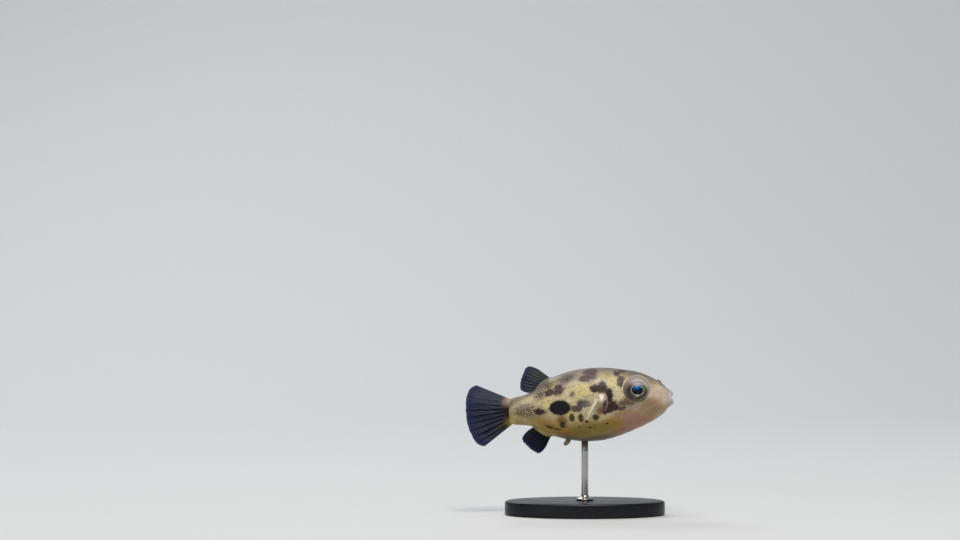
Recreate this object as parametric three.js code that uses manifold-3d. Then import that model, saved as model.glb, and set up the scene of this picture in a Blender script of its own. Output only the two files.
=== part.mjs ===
// Dwarf freshwater pufferfish, life size, as a still museum model on a small display stand.
//
// Millimetres, +Z up. The fish looks along +X, its left side is +Y, and y = 0 is its plane of symmetry.
// The origin is the middle of the stand's underside. The swimming attitude, with the snout a little
// higher than the tail, is in the back and belly lines themselves.
import * as THREE from "three";
import { mergeVertices } from "three/addons/utils/BufferGeometryUtils.js";
import Module from "manifold-3d";

const wasm = await Module();
wasm.setup();

// ---------------------------------------------------------------- driving dimensions

const GAP = 0.04; // clearance between neighbouring pieces
const FIN_THICKNESS = 0.5;

const SNOUT_X = 10.85; // foremost point of the head, behind the lips
const GILL_X = 2.95; // head and trunk part at the gill opening
const VENT_X = -5.3; // trunk and tail part behind the dorsal and anal fins
const TAIL_X = -9.55; // end of the fleshy tail stalk
const SNOUT_ROUNDING = 1.05; // length over which the snout closes to its tip
const TAIL_ROUNDING = 0.75;

// A cross-section is a superellipse: a power of 1 is an ellipse, and a lower one is squarer.
const TRUNK_POWER = 0.92;
const HEAD_POWER = 0.8; // broad and flat between the eyes

// The fish's lines, as for a hull: [x, height] for back, belly and widest level, [x, half width] for breadth.
const BACK = [
  [-9.6, 14.5], [-8.1, 14.85], [-6.9, 15.2], [-5.9, 15.85], [-4.9, 16.7], [-3.1, 17.55],
  [-0.6, 18.2], [1.9, 18.4], [4.4, 18.22], [6.9, 17.8], [8.1, 17.3], [9.4, 16.6], [10.4, 15.85], [10.9, 15.45],
];
const BELLY = [
  [-9.6, 11.25], [-8.1, 11.2], [-6.9, 11.15], [-5.7, 10.75], [-4.4, 10.05], [-2.5, 9.5],
  [-0.6, 9.24], [1.2, 9.22], [3.1, 9.52], [5.6, 10.4], [8.1, 11.55], [9.4, 12.35], [10.2, 13.0], [10.9, 13.7],
];
const BREADTH = [
  [-9.6, 0.5], [-8.1, 1.02], [-6.9, 1.48], [-5.6, 1.98], [-4.4, 2.5], [-3.1, 3.0], [-1.3, 3.52],
  [0.6, 3.76], [2.5, 3.8], [4.4, 3.48], [6.3, 2.98], [7.5, 2.68], [8.8, 2.25], [9.9, 1.76], [10.9, 1.4],
];
const WIDEST_LEVEL = [
  [-9.6, 12.9], [-5.6, 13.1], [-1.3, 13.0], [2.5, 13.2], [5.6, 13.75], [8.1, 14.3], [10.9, 14.65],
];

const EYE = { x: 6.45, y: 2.36, z: 15.6, radius: 1.36, depth: 1.06 };
const EYE_MOUND = { y: 1.9, radius: 1.95, depth: 1.2 };

const UPPER_LIP = { x: 10.42, z: 15.08, length: 0.58, halfWidth: 1.16, height: 0.46 };
const LOWER_LIP = { x: 10.48, z: 14.15, length: 0.62, halfWidth: 1.12, height: 0.55 };
const NOSTRIL = { x: 9.2, y: 1.02, lean: 0.42, radius: 0.27, length: 0.78 };
const VENT_LOBE = { x: -2.2, z: 9.3, length: 1.1, height: 0.75 };

// A fin is a fan of rays about a hub inside the body. Angles run from the tailward direction, up is plus.
const CAUDAL_FIN = { hubX: -6.5, hubZ: 13.35, reach: 8.45, top: 22, bottom: -38.5, corner: 0.9 };
const DORSAL_FIN = { hubX: -1.95, hubZ: 15.35, reach: 6.25, top: 37, bottom: -2, corner: 1.9 };
const ANAL_FIN = { hubX: -2.45, hubZ: 13.55, reach: 6.9, top: -33, bottom: -65, corner: 1.6 };
const PECTORAL_FIN = { hubX: 2.9, hubZ: 14.5, reach: 4.55, top: 12, bottom: -46, corner: 1.1, splay: 34, y: 3.0 };

// Fleshy bases that the fins grow from: centre, half sizes and pitch about the cross axis in degrees.
const DORSAL_LOBE = { x: -5.0, z: 16.1, length: 1.55, width: 0.5, height: 0.72, pitch: -40 };
const ANAL_LOBE = { x: -5.15, z: 10.6, length: 1.5, width: 0.5, height: 0.62, pitch: 29 };
const PECTORAL_LOBE = { x: 2.05, y: 3.42, z: 14.25, length: 0.62, width: 0.48, height: 1.0 };

const STAND = {
  baseLength: 20, baseWidth: 12, baseHeight: 1.8, edge: 0.3, rodRadius: 0.45, footRadius: 1.1, footHeight: 0.4,
};

// ---------------------------------------------------------------- small helpers

const degrees = THREE.MathUtils.degToRad;

// A smooth curve value(x) through [x, value] points.
function through(points) {
  const slope = (i) => {
    const a = points[Math.max(i - 1, 0)];
    const b = points[Math.min(i + 1, points.length - 1)];
    return (b[1] - a[1]) / (b[0] - a[0]);
  };
  return (x) => {
    let i = points.findIndex((p) => p[0] > x) - 1;
    if (i < 0) i = x < points[0][0] ? 0 : points.length - 2;
    const [x0, v0] = points[i];
    const [x1, v1] = points[i + 1];
    const span = x1 - x0;
    const t = THREE.MathUtils.clamp((x - x0) / span, 0, 1);
    const u = 1 - t;
    return (
      v0 * (1 + 2 * t) * u * u + slope(i) * span * t * u * u + v1 * t * t * (1 + 2 * u) - slope(i + 1) * span * t * t * u
    );
  };
}

const backAt = through(BACK);
const bellyAt = through(BELLY);
const breadthAt = through(BREADTH);
const widestLevelAt = through(WIDEST_LEVEL);

// A closed three.js geometry as a manifold-3d solid.
function solidOf(geometry) {
  const bare = geometry.index ? geometry.toNonIndexed() : geometry.clone();
  bare.deleteAttribute("normal");
  bare.deleteAttribute("uv");
  const merged = mergeVertices(bare, 1e-4);
  return new wasm.Manifold(
    new wasm.Mesh({
      numProp: 3,
      vertProperties: new Float32Array(merged.attributes.position.array),
      triVerts: new Uint32Array(merged.index.array),
    }),
  );
}

// A manifold-3d solid as a named three.js mesh.
function meshOf(name, solid, material) {
  const { numProp, numVert, vertProperties, triVerts } = solid.getMesh();
  const position = new Float32Array(numVert * 3);
  for (let i = 0; i < numVert; i++) {
    position.set(vertProperties.subarray(i * numProp, i * numProp + 3), i * 3);
  }
  const geometry = new THREE.BufferGeometry();
  geometry.setAttribute("position", new THREE.BufferAttribute(position, 3));
  geometry.setIndex(new THREE.BufferAttribute(new Uint32Array(triVerts), 1));
  geometry.computeVertexNormals();
  const mesh = new THREE.Mesh(geometry, material);
  mesh.name = name;
  return mesh;
}

function box(fromX, toX) {
  const high = 60;
  const geometry = new THREE.BoxGeometry(toX - fromX, high, high);
  geometry.translate((fromX + toX) / 2, 0, 0);
  return solidOf(geometry);
}

function ellipsoid(centre, halfSizes, { pitch = 0, around = 28 } = {}) {
  const geometry = new THREE.SphereGeometry(1, around, Math.round(around / 2));
  geometry.scale(...halfSizes);
  geometry.rotateY(degrees(pitch));
  geometry.translate(...centre);
  return solidOf(geometry);
}

// ---------------------------------------------------------------- body

// How far the body has opened out, 0 at its two ends and 1 along its length.
function openingAt(x) {
  const rounded = (distance, length) => {
    const t = THREE.MathUtils.clamp(distance / length, 0, 1);
    return Math.sqrt(1 - (1 - t) ** 2);
  };
  return rounded(SNOUT_X - x, SNOUT_ROUNDING) * rounded(x - TAIL_X, TAIL_ROUNDING);
}

// The skin at station x, at an angle round the body from the left side over the back.
function bodyPoint(x, angle, grow) {
  const level = widestLevelAt(x);
  const open = openingAt(x);
  const side = Math.cos(angle);
  const up = Math.sin(angle);
  const power = THREE.MathUtils.lerp(TRUNK_POWER, HEAD_POWER, THREE.MathUtils.smoothstep(x, GILL_X, EYE.x));
  const reach = up > 0 ? backAt(x) - level : level - bellyAt(x);
  return [
    x,
    Math.sign(side) * Math.abs(side) ** power * (breadthAt(x) * open + grow),
    level + Math.sign(up) * Math.abs(up) ** power * (reach * open + grow),
  ];
}

// The whole body as one closed loft: a sphere with its poles at snout and tail, each point moved to the skin.
function bodySolid(grow = 0) {
  const along = 44;
  const around = 32;
  const geometry = new THREE.SphereGeometry(1, around, along);
  const position = geometry.getAttribute("position");
  const columns = around + 1;
  for (let i = 0; i < position.count; i++) {
    const row = Math.floor(i / columns);
    const angle = ((i % columns) % around) * ((2 * Math.PI) / around);
    const x = THREE.MathUtils.lerp(TAIL_X - grow, SNOUT_X + grow, (1 + Math.cos((row / along) * Math.PI)) / 2);
    const atPole = row === 0 || row === along;
    const point = atPole ? [x, 0, widestLevelAt(x)] : bodyPoint(x, angle, grow);
    position.setXYZ(i, ...point);
  }
  const solid = solidOf(geometry);
  return solid.volume() > 0 ? solid : solidOf(flipped(geometry));
}

function flipped(geometry) {
  const copy = geometry.clone();
  const index = copy.index.array;
  for (let i = 0; i < index.length; i += 3) [index[i + 1], index[i + 2]] = [index[i + 2], index[i + 1]];
  return copy;
}

function eyeSolid(side, grow = 0) {
  const across = EYE.radius + grow;
  return ellipsoid([EYE.x, side * EYE.y, EYE.z], [across, EYE.depth + grow, across], { around: 22 });
}

function eyeMound(side) {
  return ellipsoid(
    [EYE.x, side * EYE_MOUND.y, EYE.z],
    [EYE_MOUND.radius, EYE_MOUND.depth, EYE_MOUND.radius],
    { around: 22 },
  );
}

function lipSolid({ x, z, length, halfWidth, height }, grow = 0) {
  return ellipsoid([x, 0, z], [length + grow, halfWidth + grow, height + grow], { around: 18 });
}

// A short tube with a rounded rim, leaning outwards from the top of the snout.
function nostrilSolid(side) {
  const { x, y, lean, radius, length } = NOSTRIL;
  const profile = new THREE.Path();
  profile.moveTo(0, 0);
  profile.lineTo(radius * 1.25, 0);
  profile.lineTo(radius, length * 0.7);
  profile.quadraticCurveTo(radius, length, 0, length);
  const geometry = new THREE.LatheGeometry(profile.getPoints(4), 10);
  geometry.rotateX(Math.PI / 2);
  geometry.rotateX(-side * lean);
  geometry.rotateY(0.25);
  geometry.translate(x, side * y, backAt(x) - length * 0.72);
  return solidOf(geometry);
}

function lobe({ x, y = 0, z, length, width, height, pitch = 0 }, side = 1, grow = 0) {
  return ellipsoid([x, side * y, z], [length + grow, width + grow, height + grow], { pitch, around: 16 });
}

function fleshyLobes(grow = 0) {
  return lobe(DORSAL_LOBE, 1, grow)
    .add(lobe(ANAL_LOBE, 1, grow))
    .add(lobe(PECTORAL_LOBE, 1, grow))
    .add(lobe(PECTORAL_LOBE, -1, grow));
}

// ---------------------------------------------------------------- fins

// A flat fan in the XZ plane about its hub: two straight edges, a round trailing edge and rounded corners.
function fanSolid({ hubX, hubZ, reach, top, bottom, corner }) {
  const at = (angle, r) => [-r * Math.cos(degrees(angle)), r * Math.sin(degrees(angle))];
  const cornerTurn = THREE.MathUtils.radToDeg(corner / reach);
  const start = 0.08 * reach;
  const shape = new THREE.Shape();
  shape.moveTo(...at(top, start));
  shape.lineTo(...at(top, reach - corner));
  shape.quadraticCurveTo(...at(top, reach), ...at(top - cornerTurn, reach));
  const arcSteps = 10;
  for (let i = 1; i < arcSteps; i++) {
    shape.lineTo(...at(THREE.MathUtils.lerp(top - cornerTurn, bottom + cornerTurn, i / arcSteps), reach));
  }
  shape.lineTo(...at(bottom + cornerTurn, reach));
  shape.quadraticCurveTo(...at(bottom, reach), ...at(bottom, reach - corner));
  shape.lineTo(...at(bottom, start));
  shape.closePath();
  const bevel = 0.12;
  const geometry = new THREE.ExtrudeGeometry(shape, {
    depth: FIN_THICKNESS - 2 * bevel,
    bevelEnabled: true,
    bevelThickness: bevel,
    bevelSize: bevel,
    bevelOffset: -bevel,
    bevelSegments: 1,
    curveSegments: 5,
  });
  geometry.translate(0, 0, bevel - FIN_THICKNESS / 2);
  geometry.rotateX(Math.PI / 2);
  return { geometry, place: [hubX, 0, hubZ] };
}

function medianFin(fin, flesh) {
  const { geometry, place } = fanSolid(fin);
  geometry.translate(...place);
  return largestPiece(solidOf(geometry).subtract(flesh));
}

// The pectoral fin swings out from the flank by its splay, about the upright line through its hub.
function pectoralFin(side, flesh) {
  const { geometry, place } = fanSolid(PECTORAL_FIN);
  geometry.rotateZ(-side * degrees(PECTORAL_FIN.splay));
  geometry.translate(place[0], side * PECTORAL_FIN.y, place[2]);
  return largestPiece(solidOf(geometry).subtract(flesh));
}

function largestPiece(solid) {
  return solid.decompose().reduce((a, b) => (a.volume() > b.volume() ? a : b));
}

function ventLobe(flesh) {
  const { x, z, length, height } = VENT_LOBE;
  const shape = new THREE.Shape();
  shape.moveTo(length * 0.55, height * 0.6);
  shape.lineTo(-length * 0.45, height * 0.6);
  shape.lineTo(-length * 0.52, -height * 0.75);
  shape.quadraticCurveTo(-length * 0.45, -height, -length * 0.2, -height * 0.9);
  shape.quadraticCurveTo(length * 0.1, -height * 0.45, length * 0.55, height * 0.1);
  shape.closePath();
  const geometry = new THREE.ExtrudeGeometry(shape, { depth: FIN_THICKNESS, bevelEnabled: false, curveSegments: 5 });
  geometry.translate(0, 0, -FIN_THICKNESS / 2);
  geometry.rotateX(Math.PI / 2);
  geometry.translate(x, 0, z);
  return largestPiece(solidOf(geometry).subtract(flesh));
}

// ---------------------------------------------------------------- stand

function standBase() {
  const { baseLength, baseWidth, baseHeight, edge } = STAND;
  const shape = new THREE.Shape();
  shape.absellipse(0, 0, baseLength / 2 - edge, baseWidth / 2 - edge, 0, 2 * Math.PI);
  const geometry = new THREE.ExtrudeGeometry(shape, {
    depth: baseHeight - 2 * edge,
    bevelEnabled: true,
    bevelThickness: edge,
    bevelSize: edge,
    bevelSegments: 2,
    curveSegments: 20,
  });
  geometry.translate(0, 0, edge);
  return solidOf(geometry);
}

// A thin rod with a turned foot, reaching up into the belly, where the body is cut out of it.
function standRod(flesh) {
  const { baseHeight, rodRadius, footRadius, footHeight } = STAND;
  const foot = baseHeight + GAP;
  const profile = new THREE.Path();
  profile.moveTo(0, foot);
  profile.lineTo(footRadius, foot);
  profile.lineTo(footRadius, foot + footHeight * 0.5);
  profile.quadraticCurveTo(rodRadius * 1.2, foot + footHeight * 0.6, rodRadius, foot + footHeight * 2.2);
  profile.lineTo(rodRadius, bellyAt(0) + 1);
  profile.lineTo(0, bellyAt(0) + 1);
  const geometry = new THREE.LatheGeometry(profile.getPoints(5), 18);
  geometry.rotateX(Math.PI / 2);
  const solid = solidOf(geometry);
  return solid.subtract(flesh);
}

// ---------------------------------------------------------------- the model

const skin = new THREE.MeshStandardMaterial({ color: 0xc9b98a, roughness: 0.42 });
const lipSkin = new THREE.MeshStandardMaterial({ color: 0xb9a9a0, roughness: 0.4 });
const membrane = new THREE.MeshStandardMaterial({ color: 0x4a4f66, roughness: 0.45 });
const eyeball = new THREE.MeshStandardMaterial({ color: 0x14302c, roughness: 0.08 });
const blackAluminium = new THREE.MeshStandardMaterial({ color: 0x1e1f22, roughness: 0.4, metalness: 0.6 });
const steel = new THREE.MeshStandardMaterial({ color: 0xb9bbbd, roughness: 0.3, metalness: 1 });

const upperLip = lipSolid(UPPER_LIP);
const lowerLip = lipSolid(LOWER_LIP).subtract(lipSolid(UPPER_LIP, GAP));
const lipsAndEyes = lipSolid(UPPER_LIP, GAP)
  .add(lipSolid(LOWER_LIP, GAP))
  .add(eyeSolid(1, GAP))
  .add(eyeSolid(-1, GAP));
const headFlesh = bodySolid().add(eyeMound(1)).add(eyeMound(-1));
const trunkFlesh = bodySolid().add(fleshyLobes());
const grownFlesh = bodySolid(GAP).add(fleshyLobes(GAP));

const fish = new THREE.Group();
fish.add(
  meshOf("head", headFlesh.intersect(box(GILL_X + GAP / 2, 30)).subtract(lipsAndEyes), skin),
  meshOf("trunk", trunkFlesh.intersect(box(VENT_X + GAP / 2, GILL_X - GAP / 2)), skin),
  meshOf("tail", trunkFlesh.intersect(box(-30, VENT_X - GAP / 2)), skin),
  meshOf("upper_lip", upperLip, lipSkin),
  meshOf("lower_lip", lowerLip, lipSkin),
  meshOf("caudal_fin", medianFin(CAUDAL_FIN, grownFlesh), membrane),
  meshOf("dorsal_fin", medianFin(DORSAL_FIN, grownFlesh), membrane),
  meshOf("anal_fin", medianFin(ANAL_FIN, grownFlesh), membrane),
  meshOf("vent_lobe", ventLobe(grownFlesh), skin),
);
for (const [word, side] of [["left", 1], ["right", -1]]) {
  fish.add(
    meshOf(`eye_${word}`, eyeSolid(side), eyeball),
    meshOf(`nostril_${word}`, largestPiece(nostrilSolid(side).subtract(grownFlesh)), skin),
    meshOf(`pectoral_fin_${word}`, pectoralFin(side, grownFlesh), membrane),
  );
}

const model = new THREE.Group();
model.add(fish, meshOf("stand_base", standBase(), blackAluminium), meshOf("stand_rod", standRod(grownFlesh), steel));

export default model;
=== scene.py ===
# %% [markdown]
# # A dwarf freshwater pufferfish, life size
#
# This small fish is no longer than a postage stamp is high. It is shown the way a museum shows one: a still
# cast with painted skin, held over a little stand by a steel rod. The solids are loaded first and never
# touched. They say where everything is, and all that follows is skin and paint.

# %% Load the solids
import math
from contextlib import contextmanager

import bpy
import numpy as np
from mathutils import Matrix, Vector


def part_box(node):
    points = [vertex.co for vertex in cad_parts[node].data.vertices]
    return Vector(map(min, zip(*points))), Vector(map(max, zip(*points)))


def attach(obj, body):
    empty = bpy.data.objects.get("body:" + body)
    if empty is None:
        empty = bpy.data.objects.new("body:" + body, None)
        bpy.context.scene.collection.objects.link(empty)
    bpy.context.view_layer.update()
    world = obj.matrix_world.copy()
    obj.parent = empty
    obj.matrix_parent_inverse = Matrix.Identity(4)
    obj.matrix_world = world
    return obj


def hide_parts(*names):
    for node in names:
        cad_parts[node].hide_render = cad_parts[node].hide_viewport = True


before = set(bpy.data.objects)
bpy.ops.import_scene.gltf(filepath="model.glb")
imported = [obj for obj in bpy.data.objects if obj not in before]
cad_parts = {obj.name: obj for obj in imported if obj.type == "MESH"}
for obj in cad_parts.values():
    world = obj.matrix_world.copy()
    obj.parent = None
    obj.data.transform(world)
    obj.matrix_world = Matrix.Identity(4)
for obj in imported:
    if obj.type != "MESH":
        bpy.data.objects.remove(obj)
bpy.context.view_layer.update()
scene = bpy.context.scene
print("solids:", ", ".join(sorted(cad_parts)))

# %% [markdown]
# ## A workbench a thousand times larger
#
# Many of Blender's tools have a smallest step of a tenth of a millimetre, which is coarse on a fish this
# small. So each piece is modelled on a bench where one unit stands for one millimetre, and is shrunk to life
# size when it is done. A few helpers do the carrying. One selects pieces, one opens a piece in edit mode, one
# fixes its place and size in its mesh, one finishes a modifier, one hands the piece to the frame, and the
# last reads where a solid is.

# %% Bench helpers
MM = 0.001


def take(*pieces):
    """Select these pieces and nothing else, and work on the first."""
    bpy.ops.object.select_all(action="DESELECT")
    for piece in pieces:
        piece.select_set(True)
    bpy.context.view_layer.objects.active = pieces[0]


@contextmanager
def editing(piece, select="SELECT"):
    """Edit one piece, with all of it selected unless told otherwise."""
    take(piece)
    bpy.ops.object.mode_set(mode="EDIT")
    if select:
        bpy.ops.mesh.select_all(action=select)
    yield
    bpy.ops.object.mode_set(mode="OBJECT")


def settle(piece):
    """Fix a piece's place, turn and size in its mesh."""
    take(piece)
    bpy.ops.object.transform_apply(location=True, rotation=True, scale=True)


def finish_modifier(piece, kind, **settings):
    """Give a piece a modifier and apply it."""
    take(piece)
    modifier = piece.modifiers.new(kind.title(), kind)
    for name, value in settings.items():
        setattr(modifier, name, value)
    bpy.ops.object.modifier_apply(modifier=modifier.name)


def deliver(piece, name, slot, material, *nodes):
    """Shrink a finished piece to life size, paint it, and let it stand for CAD nodes."""
    piece.name = name
    piece.scale = (MM, MM, MM)
    settle(piece)
    bpy.ops.object.shade_smooth()
    piece.data.materials.clear()
    piece.data.materials.append(material)
    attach(piece, "root")
    if nodes:
        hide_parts(*nodes)
    print(f"{name}: {len(piece.data.polygons)} faces, {[round(d / MM, 2) for d in piece.dimensions]} mm")


def bench_box(node):
    """A CAD node's lowest and highest corners, in bench millimetres."""
    low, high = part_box(node)
    return low / MM, high / MM


# %% [markdown]
# The fish's own landmarks come from the solids: the tip of the snout, the gill opening where the head ends,
# the end of the tail stalk, and the centres of the eyes. The body's coordinates are then like a globe's.
# Longitude runs from 0 at the snout to 1 at the tail stalk, and latitude from -1 on the belly's midline,
# through 0 on the flank, to 1 on the back's midline. Every mark on the skin is placed by these two numbers.

# %% Landmarks
head_low, head_high = bench_box("head")
tail_low = bench_box("tail")[0]
eye_low, eye_high = bench_box("eye_left")

SNOUT = head_high.x
GILL = head_low.x
STALK_END = tail_low.x
BODY_LENGTH = SNOUT - STALK_END
EYE_CENTRE = (eye_low + eye_high) / 2
EYE_RADIUS = (eye_high.x - eye_low.x) / 2
EYE_DEPTH = (eye_high.y - eye_low.y) / 2
print(f"body {BODY_LENGTH:.2f} mm, eye radius {EYE_RADIUS:.2f} mm at {[round(c, 2) for c in EYE_CENTRE]}")

# %% [markdown]
# ## The camera
#
# A fish in a tank is looked at from its own level. The camera looks straight along +Y with a long lens, a
# third of a metre away, and the fish sits low and right of the middle of a wide, empty frame.

# %% Camera
LENS = 100
SENSOR = 36
VIEW_WIDTH = 120 * MM
FRAME_CENTRE = Vector((-13.1, 0, 30.6)) * MM

bpy.ops.object.camera_add(rotation=(math.pi / 2, 0, 0))
camera = bpy.context.object
camera.data.lens = LENS
camera.data.sensor_width = SENSOR
camera.location = FRAME_CENTRE - Vector((0, VIEW_WIDTH * LENS / SENSOR, 0))
camera.data.clip_start = 0.01
scene.camera = camera
print(f"camera {-camera.location.y:.3f} m in front of the fish")

# %% [markdown]
# ## Paint helpers
#
# Colours are chosen as sRGB hex values, as on a screen, but shaders mix light, so one function turns them to
# linear values. Another adds a shader node with its settings and its links in one line, to the material that
# was started last. Two more start a material and end it.

# %% Paint helpers


def paint(hex_colour):
    """An sRGB hex colour as the linear colour that shaders use."""
    channels = [int(hex_colour[i : i + 2], 16) / 255 for i in (1, 3, 5)]
    return (*[c / 12.92 if c <= 0.04045 else ((c + 0.055) / 1.055) ** 2.4 for c in channels], 1)


def add(kind, inputs, out=0, **settings):
    """Add a shader node and give one of its outputs. Inputs are numbers, hex colours or such outputs."""
    node = tree.nodes.new("ShaderNode" + kind)
    for name, value in settings.items():
        setattr(node, name, value)
    for name, value in inputs.items() if isinstance(inputs, dict) else enumerate(inputs):
        if isinstance(value, bpy.types.NodeSocket):
            tree.links.new(value, node.inputs[name])
        else:
            node.inputs[name].default_value = paint(value) if isinstance(value, str) else value
    return node.outputs[out] if node.outputs else None


def new_material(name):
    """Start a material. Gives it and the place, in millimetres, of each point of the piece."""
    global tree
    material = bpy.data.materials.new(name)
    material.use_nodes = True
    tree = material.node_tree
    tree.nodes.clear()
    return material, add("Mapping", {"Vector": add("TexCoord", {}, "Object"), "Scale": (1 / MM,) * 3})


def finish_material(finish):
    """End the material with the finish of its surface."""
    add("OutputMaterial", {"Surface": add("BsdfPrincipled", finish)})
    print("shader nodes:", len(tree.nodes))


# %% [markdown]
# Painting needs five ideas more. A field is a number stored on the skin's points. A rise turns a number into
# a mask with a soft edge, and a product is where several masks overlap. Stirring moves a number about with a
# noise, which frays the edge of a mask. And paint is laid over paint in coats, each through its mask.

# %% Masks and coats


def field(attribute, channel):
    """One channel of the numbers stored on a piece's points, 0 to 1."""
    return add("SeparateColor", {0: add("Attribute", {}, "Color", attribute_name=attribute)}, channel)


def rise(value, low, high, top=1.0):
    """0 below low, top above high, and a smooth rise between. Low may be the larger."""
    ends = {"Value": value, "From Min": low, "From Max": high, "To Max": top}
    return add("MapRange", ends, interpolation_type="SMOOTHSTEP")


def product(mask, *others):
    """Where masks overlap."""
    for other in others:
        mask = add("Math", (mask, other), operation="MULTIPLY")
    return mask


def stirred(value, noise, reach):
    """A value moved up and down by a noise."""
    swing = add("Math", (noise, 0.5), operation="SUBTRACT")
    return add("Math", (swing, reach, value), operation="MULTIPLY_ADD")


def coated(colour, *coats):
    """Coats of paint over a colour. Each is a mask and a tint."""
    for mask, tint in coats:
        colour = add("Mix", {0: mask, 6: colour, 7: tint}, 2, data_type="RGBA")
    return colour


# %% [markdown]
# ## The room
#
# The floor is a pale sheet of studio paper that curves up behind the model, so no horizon shows. It is one
# plane whose back edge is extruded upwards, with the corner between them bevelled to a wide curve. The paper
# is uncoated and rough, so it gives back light evenly from all sides, and only a faint cloudiness of its
# fibres shows.

# %% Floor and backdrop
PAPER_WIDTH = 2.4
PAPER_FRONT = -1.0
PAPER_BACK = 0.5
PAPER_HEIGHT = 0.6
CURVE_RADIUS = 0.3
CLOSE = 0.001


def choose_edges(piece, wanted):
    """Select the edges whose two ends are both wanted."""
    with editing(piece, "DESELECT"):
        bpy.ops.mesh.select_mode(type="EDGE")
    for edge in piece.data.edges:
        edge.select = all(wanted(piece.data.vertices[i].co) for i in edge.vertices)


bpy.ops.object.select_all(action="DESELECT")
bpy.ops.mesh.primitive_plane_add(size=1, location=(0, (PAPER_FRONT + PAPER_BACK) / 2, 0))
floor = bpy.context.object
floor.name = "studio_paper"
floor.scale = (PAPER_WIDTH, PAPER_BACK - PAPER_FRONT, 1)
settle(floor)
choose_edges(floor, lambda end: end.y > PAPER_BACK - CLOSE)
with editing(floor, None):
    bpy.ops.mesh.extrude_region_move(TRANSFORM_OT_translate={"value": (0, 0, PAPER_HEIGHT)})
choose_edges(floor, lambda end: end.y > PAPER_BACK - CLOSE and end.z < CLOSE)
with editing(floor, None):
    bpy.ops.mesh.bevel(offset=CURVE_RADIUS, segments=24, profile=0.5)
    bpy.ops.mesh.select_mode(type="VERT")
bpy.ops.object.shade_smooth()

paper, place = new_material("seamless studio paper")
fibre = add("TexNoise", {"Vector": place, "Scale": 1.5, "Detail": 3})
finish_material({"Base Color": coated("#D3D5D6", (fibre, "#D9DBDC")), "Roughness": 0.9})
floor.data.materials.append(paper)
print("paper:", len(floor.data.polygons), "faces")

# %% [markdown]
# ## The light
#
# The fish was lit from above, as every aquarium is, so the back is bright and the belly falls into soft
# shade. A large soft lamp hangs over it, a weak one fills from the camera's side, a narrow one behind draws
# a line of light along the back and through the fins, and a fourth lights the paper behind.

# %% Lights


def soft_lamp(name, place, target, size, watts, colour):
    """A round soft lamp that faces its target."""
    bpy.ops.object.light_add(type="AREA", location=place)
    lamp = bpy.context.object
    lamp.name = name
    lamp.rotation_euler = (Vector(target) - Vector(place)).to_track_quat("-Z", "Y").to_euler()
    lamp.data.shape = "DISK"
    lamp.data.size = size
    lamp.data.energy = watts
    lamp.data.color = paint(colour)[:3]


MIDDLE = (0, 0, 0.013)
soft_lamp("overhead", (0.02, -0.2, 0.38), MIDDLE, 0.2, 1.1, "#FFF8EE")
soft_lamp("front fill", (-0.3, -0.42, 0.12), MIDDLE, 0.35, 0.15, "#F2F5FF")
soft_lamp("back rim", (-0.14, 0.28, 0.3), MIDDLE, 0.16, 0.3, "#FFFFFF")
soft_lamp("backdrop glow", (-0.1, 0.1, 0.75), (0, 0.55, 0.1), 0.5, 2.0, "#F4F8FF")

world = bpy.data.worlds.new("studio")
scene.world = world
world.use_nodes = True
sky = world.node_tree.nodes["Background"].inputs
sky["Color"].default_value = paint("#DDE3EA")
sky["Strength"].default_value = 0.25
scene.view_settings.view_transform = "Standard"

# %% [markdown]
# ## The skin
#
# A puffer has no scales: one smooth, slightly slack skin runs over its whole body and out over the lips and
# the fleshy bases of the fins. It could be drawn out ring by ring from a circle, but the solids already hold
# its exact lines. So the skin is cast over copies of them, as a mould-maker would do it: the copies are
# pushed out by a hair so that they join, remeshed into one closed surface, and smoothed until no facet shows.

# %% Cast the body
COARSE = 0.11
FINE = 0.08
SWELL = 0.035


def join(pieces):
    """Join pieces into the first one."""
    take(*pieces)
    bpy.ops.object.join()
    return pieces[0]


def bench_copies(*nodes):
    """Copies of CAD nodes, joined to one piece on the bench."""
    copies = []
    for node in nodes:
        copy = bpy.data.objects.new("cast_" + node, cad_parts[node].data.copy())
        scene.collection.objects.link(copy)
        copy.scale = (1 / MM,) * 3
        copies.append(copy)
    piece = join(copies)
    settle(piece)
    with editing(piece):
        bpy.ops.mesh.remove_doubles(threshold=0.001)
    return piece


skin = bench_copies("head", "trunk", "tail", "eye_left", "eye_right")
finish_modifier(skin, "DISPLACE", strength=SWELL, mid_level=0)
finish_modifier(skin, "REMESH", mode="VOXEL", voxel_size=COARSE)
finish_modifier(skin, "SMOOTH", factor=0.5, iterations=30)
print("body cast:", len(skin.data.polygons), "faces")

# %% [markdown]
# The tail stalk ends in a flat, upright edge, so that the skin can run out over the roots of the fin's rays.
# The cast's round end is drawn out to full height and pressed thin.

# %% Flatten the end of the tail stalk


def coordinates(piece):
    """A mesh's points as three arrays."""
    flat = np.empty(len(piece.data.vertices) * 3)
    piece.data.vertices.foreach_get("co", flat)
    return flat.reshape(-1, 3).T


def move_to(piece, x, y, z):
    """Put a mesh's points where three arrays say."""
    piece.data.vertices.foreach_set("co", np.stack([x, y, z], axis=1).ravel())
    piece.data.update()


def ease(low, high, value):
    """0 below low, 1 above high, and a smooth rise between. Low may be the larger."""
    t = np.clip((value - low) / (high - low), 0, 1)
    return t * t * (3 - 2 * t)


STALK_ROUNDING = 0.75
STALK_LEVEL = (tail_low.z + bench_box("caudal_fin")[1].z) / 2 - 0.2

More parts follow.
